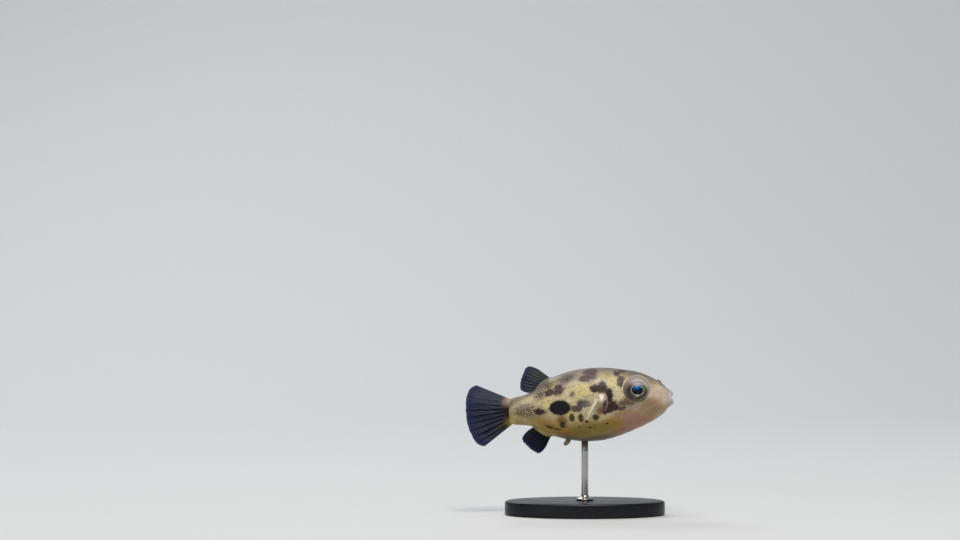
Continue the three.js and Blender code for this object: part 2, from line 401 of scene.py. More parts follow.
x, y, z = coordinates(skin)
fullness = np.sqrt(1 - (1 - np.clip((x - STALK_END) / STALK_ROUNDING, 0, 1)) ** 2)
taller = 1 / np.maximum(fullness, 0.4) ** 0.9
thinner = 1 - 0.4 * ease(STALK_END + 2.2, STALK_END + 0.1, x)
move_to(skin, x, y * thinner, STALK_LEVEL + (z - STALK_LEVEL) * taller)
print(f"level of the stalk's end: {STALK_LEVEL:.2f} mm")

# %% [markdown]
# ## Lips, nostrils and vent
#
# The mouth is a small slit at the very tip of the snout between two full lips, each a little bar that bends
# back at its corners. A bar is a stretched ball whose ends are swept back, and a blunt cone behind them fills
# the muzzle out. The nostrils are two low soft knobs on the snout, each pectoral fin grows from a plump base,
# and the vent is a soft flap under the belly that leans back.

# %% Mouth and small parts
LIP_SWEEP = 0.5
FLAP_LEAN = 0.55
FIN_BASE = Vector((1.9, 3.5, 14.52))
BALL_STEPS = 32


def ball(centre, half_sizes):
    """A stretched ball on the bench."""
    bpy.ops.object.select_all(action="DESELECT")
    bpy.ops.mesh.primitive_uv_sphere_add(segments=BALL_STEPS, ring_count=BALL_STEPS // 2, location=centre)
    piece = bpy.context.object
    piece.scale = half_sizes
    settle(piece)
    return piece


def middle_and_half(node):
    """The middle of a CAD node's box and its half sizes."""
    low, high = bench_box(node)
    return (low + high) / 2, (high - low) / 2


def lip(node, forward, lift):
    """A lip in its CAD node's box, its corners swept back round the snout."""
    centre, half = middle_and_half(node)
    piece = ball(centre, half)
    x, y, z = coordinates(piece)
    side = (y - centre.y) / half.y
    move_to(piece, x + forward - LIP_SWEEP * side**2, y, z + lift * side**2)
    return piece


# %% Join the small parts to the body
MOUTH = (bench_box("upper_lip")[0].z + bench_box("lower_lip")[1].z) / 2

bpy.ops.object.select_all(action="DESELECT")
bpy.ops.mesh.primitive_cone_add(vertices=48, radius1=1, radius2=0.56, depth=1.15)
muzzle = bpy.context.object
muzzle.location = (SNOUT - 0.67, 0, MOUTH - 0.08)
muzzle.rotation_euler.y = math.pi / 2
muzzle.scale = (1.74, 1.8, 1)
settle(muzzle)

centre, half = middle_and_half("vent_lobe")
flap = ball(centre, (half.x * 0.72, 0.17, half.z))
x, y, z = coordinates(flap)
move_to(flap, x + FLAP_LEAN * (z - z.mean()), y, z)

small_parts = [muzzle, lip("upper_lip", 0.09, -0.08), lip("lower_lip", 0.03, 0.06), flap]
for node in ("nostril_left", "nostril_right"):
    centre, half = middle_and_half(node)
    small_parts.append(ball(centre + Vector((-0.08, 0, half.z - 0.36)), (0.3, 0.2, 0.38)))
for side in (-1, 1):
    small_parts.append(ball((FIN_BASE.x, side * FIN_BASE.y, FIN_BASE.z), (0.5, 0.52, 0.62)))

skin = join([skin, *small_parts])
finish_modifier(skin, "REMESH", mode="VOXEL", voxel_size=FINE)
finish_modifier(skin, "SMOOTH", factor=0.5, iterations=3)
print("one skin:", len(skin.data.polygons), "faces")

# %% [markdown]
# ## Folds pressed into the skin
#
# The finer relief is pressed in as with a modelling tool. A function of place says how strongly each point
# of the skin is touched, from 0 to 1. That becomes a vertex group, and a modifier works on those points
# alone: Displace pushes them in or out along their normals, and Smooth rubs them even.

# %% The modelling tool


def touched(piece, touch, kind, **settings):
    """Work a modifier into the points that a touch array names."""
    group = piece.vertex_groups.new(name="touch")
    points = np.nonzero(touch > 0.01)[0]
    for index in points:
        group.add([int(index)], float(touch[index]), "REPLACE")
    finish_modifier(piece, kind, vertex_group=group.name, **settings)
    piece.vertex_groups.clear()
    print(f"{kind.lower()}: {len(points)} points")


def press(piece, touch, depth):
    """Push the skin in by depth where touch is 1, or out if depth is negative."""
    touched(piece, touch, "DISPLACE", strength=-depth, mid_level=0)


def ridge(distance, width):
    """A soft ridge: 1 at no distance, fading to 0 over a width."""
    return np.exp(-((distance / width) ** 2))


# %% [markdown]
# The back of the lips is rubbed smooth, so that the muzzle runs into them without a notch. In front of each
# eye the snout narrows, which lets the eye look forwards.

# %% Muzzle
x, y, z = coordinates(skin)
behind_lips = ridge(x - SNOUT + 0.5, 0.4) * (1 - ridge(z - MOUTH, 0.3))
touched(skin, behind_lips, "SMOOTH", factor=0.5, iterations=14)
x, y, z = coordinates(skin)
lore = ridge(x - EYE_CENTRE.x - 1.75, 0.65) * ridge(z - EYE_CENTRE.z, 1.2) * ease(1.3, 2.0, np.abs(y))
press(skin, lore, 0.22)

# %% [markdown]
# This fish has no lids: its eye turns under a ring of loose skin. So the skin is pressed in under the eyeball
# and meets it flush at its rim, and outside of that it rises to a thin low fold.

# %% Eye sockets
SOCKET = 0.88 * EYE_RADIUS
FOLD = 1.23 * EYE_RADIUS
FOLD_SHIFT = (-0.15, 0.24)


def eye_distances(x, y, z):
    """Distance from the ball's middle, from that of the slightly uneven fold, and 1 on the fish's sides."""
    from_ball = np.hypot(x - EYE_CENTRE.x, z - EYE_CENTRE.z)
    fold_x = (x - EYE_CENTRE.x - FOLD_SHIFT[0]) * 0.94
    fold_z = z - EYE_CENTRE.z - FOLD_SHIFT[1]
    uneven = 0.02 * np.sin(3 * np.arctan2(fold_z, fold_x) + 0.8)
    return from_ball, np.hypot(fold_x, fold_z) + uneven, ease(1.1, 1.5, np.abs(y))


x, y, z = coordinates(skin)
from_eye, from_fold, on_side = eye_distances(x, y, z)
press(skin, ease(SOCKET + 0.06, SOCKET - 0.08, from_eye) * on_side, 0.4)
press(skin, ridge(from_eye - 1.08 * EYE_RADIUS, 0.14) * on_side, 0.04)
press(skin, ridge(from_fold - FOLD, 0.07) * on_side, -0.06)
press(skin, ridge(from_fold - FOLD - 0.15, 0.08) * on_side, 0.025)

# %% [markdown]
# The gill opening is a crescent slit just in front of the pectoral fin, with a raised edge behind it. The
# mouth is pressed in between the lips. Fine creases ring the muzzle, and faint wrinkles gather under the chin
# and over the cheek, where the skin is slack.

# %% Gill slit, mouth and wrinkles
GILL_ARC = {"x": 0.63, "z": 14.3, "radius": 2.17, "half_height": 1.35}


def gill_distance(x, y, z):
    """Distance from the gill slit's arc, minus behind it, and how much of the arc is there."""
    across = np.hypot(x - GILL_ARC["x"], z - GILL_ARC["z"]) - GILL_ARC["radius"]
    present = ease(GILL_ARC["half_height"], 0.8, np.abs(z - GILL_ARC["z"])) * (x > GILL_ARC["x"])
    return across, present * ease(2.4, 2.8, np.abs(y))


x, y, z = coordinates(skin)
from_slit, slit = gill_distance(x, y, z)
press(skin, ridge(from_slit, 0.11) * slit, 0.17)
press(skin, ridge(from_slit + 0.17, 0.09) * slit, -0.03)

mouth_slit = ridge(z - MOUTH, 0.06) * ease(SNOUT - 1.0, SNOUT - 0.5, x) * ease(1.2, 0.9, np.abs(y))
press(skin, mouth_slit, 0.2)

from_mouth = np.hypot(y * 0.85, z - MOUTH)
muzzle_rings = 0.5 + 0.5 * np.cos((from_mouth - 1.02) * 2 * math.pi / 0.34)
muzzle_rings *= ease(0.85, 1.0, from_mouth) * ease(2.3, 1.2, from_mouth) * ease(SNOUT - 3.2, SNOUT - 1.6, x)
press(skin, muzzle_rings, 0.03)

wrinkles = 0.5 + 0.5 * np.sin(x * 5.2 + 0.8 * np.sin(z * 2.1) + 0.5 * y)
chin = ease(SNOUT - 2.0, SNOUT - 3.4, x) * ease(GILL + 0.2, GILL + 2.2, x) * ease(12.8, 11.4, z)
press(skin, wrinkles * chin, 0.02)

# %% [markdown]
# Last comes a very slight unevenness over the whole body, as flesh and a full belly give it. Clouds, one of
# Blender's own procedural textures, move the skin by a few hundredths of a millimetre.

# %% Flesh
clouds = bpy.data.textures.new("flesh", "CLOUDS")
clouds.noise_scale = 1.4
finish_modifier(skin, "DISPLACE", texture=clouds, strength=0.06, mid_level=0.75)
print("modelled skin:", len(skin.data.polygons), "faces")

# %% [markdown]
# ## Where the marks lie
#
# No two of these fish wear the same marks, but the plan is always alike: one large black spot in the middle
# of the flank, dark saddles over the back, a blotch behind the eye, a bridge over the pectoral fin, a
# speckled band down the tail, and small spots along the belly. Each mark is one oval or a few that overlap.
# An oval is given by its longitude and latitude and its half length and half height in millimetres. The
# left side's differ from the right's, as on the real fish, and the marks on the middle of the back belong to
# both.

# %% Marks
BLACK = {"right": [(0.689, 0.1, 1.27, 1.0)], "left": [(0.69, 0.1, 1.14, 0.98)]}
BROWN = {
    "right": [
        (0.478, 0.45, 0.62, 0.5), (0.436, 0.46, 0.6, 0.74),  # arch over the pectoral fin
        (0.393, 0.37, 0.42, 0.42), (0.384, 0.29, 0.38, 0.42), (0.39, 0.26, 0.3, 0.8),  # down its front
        (0.418, 0.14, 0.3, 0.5), (0.375, 0.06, 0.74, 0.68), (0.352, 0.05, 0.45, 0.42), (0.41, 0.0, 0.5, 0.45),
        (0.808, -0.04, 0.7, 0.42),  # on the tail stalk
    ],
    "left": [
        (0.468, 0.44, 0.42, 0.85), (0.505, 0.49, 0.62, 0.75), (0.49, 0.55, 0.6, 0.35),
        (0.503, 0.08, 0.4, 0.5), (0.42, -0.02, 1.2, 0.36), (0.355, 0.12, 0.36, 0.6), (0.8, 0.0, 0.55, 0.4),
    ],
}  # fmt: skip
GREY = {
    "right": [
        (0.5, 0.77, 0.85, 1.15), (0.536, 0.66, 0.8, 0.42),  # saddle over the back
        (0.342, 0.75, 0.4, 0.5), (0.318, 0.55, 0.46, 0.76), (0.31, -0.01, 0.5, 0.3), (0.3, 0.86, 0.6, 0.5),
        (0.548, 0.17, 0.84, 0.56), (0.59, 0.08, 0.68, 0.48),  # middle of the flank
        (0.7, 0.53, 0.72, 0.56), (0.75, 0.53, 0.6, 0.4),  # under the dorsal fin
    ],
    "left": [
        (0.36, 0.68, 0.5, 0.5), (0.36, 0.51, 0.42, 0.85), (0.3, 0.86, 0.8, 0.6), (0.52, 0.69, 0.6, 0.45),
        (0.57, 0.68, 0.4, 0.42), (0.62, 0.2, 0.6, 0.7), (0.735, 0.5, 0.85, 0.6), (0.66, 0.62, 0.6, 0.5),
    ],
}  # fmt: skip
MIDDLE_OF_BACK = [(0.165, 1, 0.85, 0.5), (0.4, 1, 0.4, 0.55), (0.44, 1, 0.5, 0.35), (0.61, 1, 0.7, 0.42)]
for side in GREY.values():
    side.extend(MIDDLE_OF_BACK)
SMALL = {
    "right": [
        (0.617, -0.12, 0.34, 0.55), (0.562, -0.13, 0.32, 0.55), (0.472, -0.125, 0.4, 0.42),
        (0.528, -0.21, 0.2, 0.2), (0.67, -0.33, 0.32, 0.5), (0.752, -0.51, 0.5, 0.16), (0.7, -0.5, 0.4, 0.14),
        (0.507, -0.34, 0.18, 0.18), (0.571, -0.32, 0.12, 0.13), (0.404, -0.27, 0.2, 0.12),
    ],
    "left": [
        (0.527, -0.07, 0.22, 0.3), (0.513, -0.18, 0.26, 0.26), (0.567, -0.27, 0.24, 0.22),
        (0.553, -0.35, 0.16, 0.14), (0.607, -0.14, 0.26, 0.42), (0.447, -0.16, 0.13, 0.2),
        (0.65, -0.3, 0.28, 0.4), (0.71, -0.47, 0.5, 0.16), (0.77, -0.5, 0.4, 0.15), (0.48, -0.3, 0.14, 0.12),
    ],
}  # fmt: skip
print("ovals on the right:", sum(len(marks["right"]) for marks in (BLACK, BROWN, GREY, SMALL)))

# %% [markdown]
# Under the marks lie broad, soft zones of colour, the same on both sides: cream on the shoulders and the top
# of the stalk, which is partly painted highlight, clear yellow between the blotches, gold on the rear belly,
# olive and then slate at the bottom, which is painted shade, rose on cheeks and chin, tan and a pale blush on
# the snout, the blush patchy and partly painted highlight, grey on the crown, a mauve bloom on the back,
# umber smears under the large spot and smoke below the eye. Specks crowd on the tail stalk, and freckles
# along the lower flank.

# %% Zones
ZONES = {
    # cream: the skin's own cream, partly painted highlight on the shoulders and the top of the stalk
    "cream": [
        (0.6, 0.62, 0.9, 0.5), (0.464, 0.62, 1.0, 0.9), (0.87, 0.62, 1.3, 0.6), (0.35, 0.32, 0.9, 0.9),
        (0.777, 0.72, 0.9, 0.9), (0.27, 0.45, 0.6, 0.6), (0.5, 0.02, 0.5, 0.9),
    ],
    "yellow": [
        (0.366, 0.6, 0.7, 1.0), (0.55, 0.42, 0.9, 0.9), (0.73, 0.8, 0.8, 0.85), (0.77, 0.25, 0.55, 1.0),
        (0.64, -0.02, 0.5, 1.0), (0.45, 0.22, 0.5, 0.8), (0.28, 0.6, 0.5, 0.45), (0.42, 0.72, 0.7, 0.5),
    ],
    "gold": [
        (0.76, -0.5, 1.5, 1.0), (0.673, -0.52, 1.9, 1.2), (0.34, -0.36, 1.3, 1.0),
        (0.68, -0.24, 0.7, 0.6), (0.39, -0.24, 0.9, 0.5),
    ],
    "olive": [(0.46, -0.34, 2.9, 0.95), (0.56, -0.42, 1.8, 0.9)],
    # slate: painted shade along the bottom of the belly
    "slate": [(0.44, -0.82, 3.4, 2.0), (0.6, -0.82, 2.4, 1.5), (0.3, -0.92, 2.0, 1.3)],
    "rose": [
        (0.244, -0.32, 1.5, 1.3), (0.19, -0.56, 1.9, 1.5), (0.3, -0.6, 1.2, 1.3), (0.2, -0.95, 2.2, 1.5),
    ],
    "tan": [(0.11, -0.1, 1.3, 1.5), (0.06, -0.6, 1.0, 1.0), (0.18, 0.0, 0.8, 0.9)],
    "grey": [
        (0.1, 0.9, 1.0, 0.8), (0.18, 0.95, 2.2, 1.9), (0.27, 0.95, 1.6, 1.4), (0.4, 1.0, 1.6, 0.9),
        (0.232, 0.8, 1.5, 1.1), (0.785, 0.85, 0.6, 0.35), (0.06, 0.76, 1.2, 0.6),
    ],
    "mauve": [
        (0.654, 0.74, 1.3, 1.0), (0.82, 0.66, 1.0, 0.7), (0.6, 1.0, 3.0, 0.8), (0.245, -0.03, 1.3, 0.5),
        (0.92, 0.36, 1.5, 0.55),
    ],
    "specks": [
        (0.875, -0.02, 2.1, 1.02), (0.91, -0.08, 1.5, 0.9), (0.8, 0.55, 1.0, 0.6), (0.644, 0.77, 1.05, 0.75),
        (0.76, 0.7, 0.8, 0.5), (0.395, 0.22, 0.9, 1.4), (0.615, 0.39, 0.4, 0.34), (0.85, -0.05, 1.6, 0.6),
    ],
    "freckles": [
        (0.52, -0.3, 2.2, 0.5), (0.62, -0.36, 1.6, 0.45), (0.4, -0.27, 0.9, 0.4), (0.33, 0.25, 1.0, 1.0),
    ],
    "umber": [(0.672, -0.24, 0.65, 1.0), (0.735, -0.5, 0.9, 0.4), (0.452, 0.0, 0.4, 0.55)],
    # blush: pale skin on the snout, broken into patches that are partly painted highlight
    "blush": [(0.075, 0.28, 1.1, 0.95), (0.125, 0.3, 0.7, 0.7), (0.04, 0.05, 0.7, 0.8)],
    "tawny": [(0.15, -0.08, 1.2, 0.8), (0.12, -0.27, 1.0, 0.6), (0.32, -0.13, 1.3, 0.55)],
    "smoke": [(0.29, 0.1, 1.1, 0.6), (0.25, 0.06, 0.5, 0.3), (0.285, 0.16, 0.5, 0.5)],
}  # fmt: skip
print("zones:", ", ".join(ZONES))

# %% [markdown]
# The ovals become numbers on the skin's points: 1 at an oval's middle, a half on its edge and 0 at twice its
# size. The edges themselves are left to the shader, which roughens them with noise. Two short tables say, by
# longitude, at which level the body is widest and what its girth is, so that an oval keeps its size in
# millimetres wherever it lies.

# %% Longitude, latitude and the ovals
x, y, z = coordinates(skin)
longitude = (SNOUT - x) / BODY_LENGTH
WIDEST_LEVEL = {0: 14.65, 0.14: 14.3, 0.26: 13.75, 0.41: 13.2, 0.6: 13, 0.81: 13.1, 1: 12.9}
GIRTH_RADIUS = {0: 1.2, 0.1: 2.4, 0.25: 3.6, 0.4: 4.3, 0.55: 4.2, 0.7: 3.4, 0.8: 2.5, 1: 1.4}


def by_longitude(table):
    """A value along the body, read from a short table."""
    return np.interp(longitude, list(table), list(table.values()))


latitude = np.arctan2(z - by_longitude(WIDEST_LEVEL), np.abs(y)) / (math.pi / 2)
step_round = by_longitude(GIRTH_RADIUS) * math.pi / 2
print(f"latitude from {latitude.min():.2f} to {latitude.max():.2f}")


def depth_in(marks):
    """How deep the skin's points lie in the nearest oval."""
    nearest = np.full_like(x, 9.0)
    for mark_longitude, mark_latitude, half_length, half_height in marks:
        along = (longitude - mark_longitude) * BODY_LENGTH / half_length
        around = (latitude - mark_latitude) * step_round / half_height
        nearest = np.minimum(nearest, np.hypot(along, around))
    return np.clip(1 - nearest / 2, 0, 1)


def both_sides(marks):
    """The right side's ovals on the right, the left side's on the left."""
    return np.where(y < 0, depth_in(marks["right"]), depth_in(marks["left"]))


def store(piece, name, *channels):
    """Keep up to three fields, each from 0 to 1, as a colour attribute on the points."""
    colour = np.zeros((len(piece.data.vertices), 4))
    for i, channel in enumerate(channels):
        colour[:, i] = channel
    attribute = piece.data.color_attributes.new(name, "FLOAT_COLOR", "POINT")
    attribute.data.foreach_set("color", colour.ravel())


# %% Store the marks and zones
from_eye, from_fold, on_side = eye_distances(x, y, z)
from_slit, slit = gill_distance(x, y, z)
clear_of_eye = 1 - ease(FOLD + 0.15, FOLD - 0.1, from_fold) * on_side

store(skin, "marks", *(both_sides(marks) * clear_of_eye for marks in (BLACK, BROWN, GREY)))
store(skin, "small_marks", both_sides(SMALL))
zone_names = list(ZONES)
for i in range(0, len(zone_names), 3):
    trio = zone_names[i : i + 3]
    store(skin, "_".join(trio), *(depth_in(ZONES[name]) for name in trio))
print("marks and zones:", len(skin.data.color_attributes), "attributes")

# %% [markdown]
# Some colours follow the anatomy instead: the pale lips, painted lighter also to stand for light from the
# front; the brown ring round the eye, with painted shade by the ball's rim and on its lower back side, and a
# lilac painted highlight on its top; the pale fold round the eye; the shadow in the gill slit with its white
# edge; painted shade in the mouth slit and the nostrils; a painted highlight on the rounded end of the tail
# stalk; the white base of the pectoral fin, pale skin painted whiter as a highlight; and the flush of blood
# behind the slit.

# %% Store the colours of the anatomy
NOSTRIL = Vector((9.36, 1.22, 16.78))
FLUSH = Vector((2.0, 0, 13.55))

upwards = (z - EYE_CENTRE.z) / np.maximum(from_eye, 0.1)
backwards = (EYE_CENTRE.x - x) / np.maximum(from_eye, 0.1)
fold_light = 0.2 + 0.75 * ease(0.55, 0.95, -backwards) + 0.15 * ease(0.3, 0.9, backwards)
fold_light *= 1 - 0.8 * ease(0.2, 0.6, backwards) * ease(-0.2, -0.6, upwards)
eye_fold = ridge(from_fold - FOLD, 0.06) * on_side * fold_light
second_fold = ridge(from_fold - FOLD + 0.22, 0.04) * on_side * fold_light * 0.5
gill_edge = ridge(from_slit + 0.13, 0.045) * slit * 0.7
# a painted highlight along the rounded end of the tail stalk
stalk_end_highlight = ridge(x - STALK_END - 0.05, 0.06)
# pale lips, painted lighter also to stand for light from the front
lips = ridge(np.hypot(x - SNOUT - 0.1, z - MOUTH), 0.85) * ease(SNOUT - 0.9, SNOUT - 0.3, x + 0.3 * y * y)
# pale skin of the pectoral fin's base, painted white as a highlight
fin_base_highlight = ridge(np.hypot(x - FIN_BASE.x - 0.04, 0.8 * (z - FIN_BASE.z - 0.28)), 0.36)
fin_base_highlight *= ease(3.4, 3.6, np.abs(y))
store(skin, "pale", np.max([eye_fold, second_fold, gill_edge, stalk_end_highlight], axis=0), lips, fin_base_highlight)

rim = from_eye - SOCKET - 0.08
eye_shadow = ridge(rim, 0.17) * on_side * (0.75 - 0.6 * upwards + 0.3 * backwards).clip(0, 1)
# a lilac painted highlight on the top of the ring round the eye
eye_top_highlight = ridge(rim, 0.25) * on_side * ease(0.35, 0.9, upwards - 0.3 * backwards)
eye_ring = ease(FOLD, FOLD - 0.16, from_fold) * on_side
# painted shade on the lower back side of the ring round the eye
eye_ring_low_shade = eye_ring * ease(-0.2, 0.8, 0.75 * backwards - 0.65 * upwards)
store(skin, "round_eye", eye_shadow, eye_top_highlight, eye_ring_low_shade)

gill_dark = ridge(from_slit - 0.03, 0.11) * slit
# painted shade in the mouth slit and in the nostrils
mouth_shade = ridge(z - MOUTH, 0.05) * ease(SNOUT - 0.9, SNOUT - 0.5, x) * ease(1.0, 0.8, np.abs(y))
from_nostril = np.hypot(np.hypot(x - NOSTRIL.x, np.abs(y) - NOSTRIL.y), z - NOSTRIL.z)
nostril_shade = ridge(from_nostril, 0.1)
store(skin, "dark", eye_ring, gill_dark, np.maximum(mouth_shade, nostril_shade))

flush = ridge(np.hypot((x - FLUSH.x) / 0.55, (z - FLUSH.z) / 0.6), 1) * ease(2.8, 3.2, np.abs(y))
flap_skin = ease(9.25, 9.0, z) * ease(-1.2, -1.5, x)
store(skin, "tinted", flush, flap_skin, latitude * 0.5 + 0.5)
print("fields:", ", ".join(a.name for a in skin.data.color_attributes))

# %% [markdown]
# ## The skin's finish
#
# The living skin is scaleless, slimy and a little translucent. Its pigment lies in grains, which stand apart
# on the cream and run together in the blotches. So the shader lays the soft zones over a cream ground, then
# scatters fine dots, and then fills the blotches with rough edges. Real pigment cells are about a twentieth
# of a millimetre wide. The dots are drawn about twice as wide, so that they show.

# %% Pigment
skin_paint, place = new_material("wet scaleless fish skin")
drift = add("TexNoise", {"Vector": place, "Scale": 1.6, "Detail": 4, "Roughness": 0.6})
mottle = add("TexNoise", {"Vector": place, "Scale": 2.3, "Detail": 5, "Roughness": 0.7})
grain = add("TexNoise", {"Vector": place, "Scale": 6.0, "Detail": 3, "Roughness": 0.6})
dust = add("TexNoise", {"Vector": place, "Scale": 14, "Detail": 1})
cells = add("TexVoronoi", {"Vector": place, "Scale": 5.5}, feature="F1")
lottery = add("SeparateColor", (cells.node.outputs["Color"],))
freckle_cells = add("TexVoronoi", {"Vector": place, "Scale": 2.6}, feature="F1")


def frayed(depth, wander, fine=0.4):
    """A stored oval's depth, stirred by three noises so that its edge frays."""
    for noise, share in ((drift, 1.0), (grain, 0.8), (dust, fine)):
        depth = stirred(depth, noise, wander * share)
    return depth


def zone(name, top):
    """One soft zone's mask."""
    trio = 3 * (zone_names.index(name) // 3)
    attribute = "_".join(zone_names[trio : trio + 3])
    depth = frayed(field(attribute, zone_names.index(name) - trio), 0.45, fine=0.1)
    return rise(depth, 0.26, 0.84, top)


black, brown, grey = (field("marks", i) for i in range(3))
black = frayed(black, 0.12, fine=0.2)
brown = frayed(brown, 0.55, fine=0.15)
grey = frayed(grey, 0.65, fine=0.15)
small = frayed(field("small_marks", 0), 0.5)
level = field("tinted", 2)  # 0 on the midline of the belly, 1 on that of the back
upper_side = rise(level, 0.44, 0.56)
near_mark = rise(add("Math", (brown, grey), operation="MAXIMUM"), 0.2, 0.5)
crowd = add("Math", (near_mark, 0.35, 0.05), operation="MULTIPLY_ADD")
chosen = add("Math", (lottery, crowd), operation="LESS_THAN")
dots = product(rise(cells, 0.32, 0.16), chosen, upper_side)
freckles = product(rise(freckle_cells, 0.3, 0.18), rise(grain, 0.42, 0.56))
brown_skin = coated("#1E0E0E", (rise(mottle, 0.4, 0.66), "#3C2521"))
grey_skin = coated("#37292B", (rise(mottle, 0.38, 0.64), "#5B4A4A"))
print("pigment:", len(tree.nodes), "shader nodes")

# %% [markdown]
# The coats go on from the ground up: broad zones first, then specks, then the blotches with a paler halo
# round each, and last the small colours of the eye's ring, the gill slit, the mouth and the fin's base, with
# their painted shade and painted highlights, and a painted highlight on the stalk's end.

# %% Coats of paint
colour = coated(
    "#D9CCA4",
    # darker and browner towards the belly: partly the fish's own tan-gold, partly painted shade
    (rise(level, 0.62, 0.28), "#A08850"),
    (rise(drift, 0.35, 0.65, 0.6), "#BFAC80"),
    (product(rise(mottle, 0.5, 0.66, 0.6), upper_side), "#86705C"),
    (zone("mauve", 0.75), "#8F7F7E"),
    # cream, partly a painted highlight on the shoulders and the top of the stalk
    (zone("cream", 0.8), "#DDD1AC"),
    (product(zone("yellow", 0.85), rise(mottle, 0.68, 0.42)), "#E2D284"),
    (zone("gold", 0.88), "#A67C30"),
    (zone("olive", 0.88), "#86722E"),
    # painted shade on the bottom of the belly, in slate
    (zone("slate", 0.92), "#575344"),
    (zone("rose", 0.85), "#A07466"),
    (zone("tan", 0.85), "#B39A7E"),
    (zone("umber", 0.8), "#6C5228"),
    (zone("grey", 0.9), "#777070"),
    (zone("tawny", 0.75), "#8E7054"),
    # pale blush on the snout, its patches partly painted highlight
    (product(zone("blush", 0.95), rise(mottle, 0.78, 0.5)), "#D4BFAC"),
    (zone("smoke", 0.9), "#4E3D30"),
    (rise(level, 0.74, 0.93, 0.78), "#665F5A"),
    (product(rise(mottle, 0.54, 0.7, 0.3), upper_side), "#86705C"),
    (rise(grain, 0.5, 0.75, 0.25), "#7E6B52"),
    (field("tinted", 1), "#8C8880"),
    (product(zone("specks", 1.0), rise(grain, 0.34, 0.52, 0.9)), "#483732"),
    (product(zone("freckles", 0.85), freckles), "#4E3F1E"),
    (product(dots, 0.6), "#5A4638"),
    (rise(grey, 0.24, 0.5, 0.45), "#84706A"),
    (rise(brown, 0.26, 0.5, 0.5), "#7B665A"),
    (rise(grey, 0.38, 0.62, 0.9), grey_skin),
    (rise(brown, 0.39, 0.61, 0.95), brown_skin),
    (rise(small, 0.26, 0.6, 0.45), "#6B5228"),
    (rise(small, 0.42, 0.6, 0.9), "#30210F"),
    (rise(black, 0.4, 0.47, 0.5), "#43301F"),
    (rise(black, 0.45, 0.55), "#140E13"),
    (product(field("dark", 0), 0.85), "#887E76"),
    # painted shade on the lower back side of the ring round the eye
    (product(field("round_eye", 2), 0.85), "#54463A"),
    (product(field("round_eye", 0), 0.85), "#40382C"),
    # lilac painted highlight on the top of the ring round the eye
    (product(field("round_eye", 1), 0.9), "#C4BAB6"),
    (product(field("tinted", 0), 0.75), "#5C322A"),
    # pale folds round the eye and the gill's edge, and a painted highlight on the stalk's rounded end
    (product(field("pale", 0), rise(grain, 0.25, 0.5, 0.85)), "#E2D7C2"),
    # pale lips, partly their own colour and partly painted light from the front
    (product(field("pale", 1), 0.95), "#D2CBD2"),
    # painted highlight on the pale base of the pectoral fin
    (field("pale", 2), "#FFF3EE"),
    (product(field("dark", 1), 0.75), "#37282A"),
    # painted shade in the mouth slit and the nostrils
    (product(field("dark", 2), 0.85), "#54433E"),
)
print("with the coats of paint:", len(tree.nodes), "shader nodes")

# %% [markdown]
# Wet skin has an IOR of about 1.38. Its slime is a thin clear coat, which gives soft, broken highlights, and
# the flesh below lets a little light through, so that no shadow on it is hard. Tiny prickles lie folded in
# the skin, about a tenth of a millimetre apart, and roughen it a little.

# %% Skin finish
prickles = add("TexVoronoi", {"Vector": place, "Scale": 9}, feature="SMOOTH_F1")
relief = add("Math", (grain, 0.8, prickles), operation="MULTIPLY_ADD")
finish_material(
    {
        "Base Color": colour,
        "Roughness": add("MapRange", {"Value": grain, "To Min": 0.36, "To Max": 0.52}),
        "Normal": add("Bump", {"Height": relief, "Strength": 0.3, "Distance": 0.035 * MM}),
        "IOR": 1.38,
        "Specular IOR Level": 0.32,
        "Subsurface Weight": 0.15,
        "Subsurface Radius": (1.0, 0.55, 0.35),
        "Subsurface Scale": 0.4 * MM,
        "Coat Weight": 0.12,
        "Coat Roughness": 0.18,
        "Coat IOR": 1.34,
    }
)
FLESH = ("head", "trunk", "tail", "upper_lip", "lower_lip", "nostril_left", "nostril_right", "vent_lobe")
deliver(skin, "fish_skin", "skin", skin_paint, *FLESH)

# %% [markdown]
# ## The fins
#
# A fin is a fan of bony rays that fork towards the edge, with a film of skin between them. It could be cut
# from a sheet, but a fan is made more truly the way it grows. The first ray is drawn as a line from the root
# to the edge and spun about the point where all rays meet. The film gets a thickness, each ray is raised on
# both faces, and at last the whole fan is given a slow wave.

# %% Draw and spin a fan
FILM = 0.07
ROOT_SWELL = 0.1
RAGGED = 0.006


def drawn(points):
    """A line through the points, drawn by extruding a single point from one to the next."""
    bpy.ops.object.select_all(action="DESELECT")
    bpy.ops.mesh.primitive_plane_add(size=1, location=(0, 0, 0))
    piece = bpy.context.object
    with editing(piece):
        bpy.ops.mesh.merge(type="CENTER")
        bpy.ops.transform.translate(value=points[0])
        for last, point in zip(points, points[1:]):
            bpy.ops.mesh.extrude_region_move(TRANSFORM_OT_translate={"value": point - last})
    return piece


def fan(hub, root, reach, top, bottom, columns, rows):
    """A flat fan in the XZ plane. Angles run from the tailward direction, up is plus, in degrees."""
    aim = math.radians(top)
    out = Vector((-math.cos(aim), 0, math.sin(aim)))
    piece = drawn([Vector(hub) + out * distance for distance in np.linspace(root, reach, rows + 1)])
    with editing(piece):
        bpy.ops.mesh.spin(steps=columns, angle=math.radians(top - bottom), center=hub, axis=(0, 1, 0))
    return piece


# %% [markdown]
# The rays are then found on the fan by their angle. A ray's middle line starts evenly spaced at the root,
# and at each fork it parts in two. A point's height is how near it lies to the nearest middle line. The root
# itself swells smoothly, so that the skin's edge closes over it without a step. The same numbers are kept on
# the mesh, so that the paint knows ray from film, one bundle from the next, and root from edge.

# %% Raise the rays


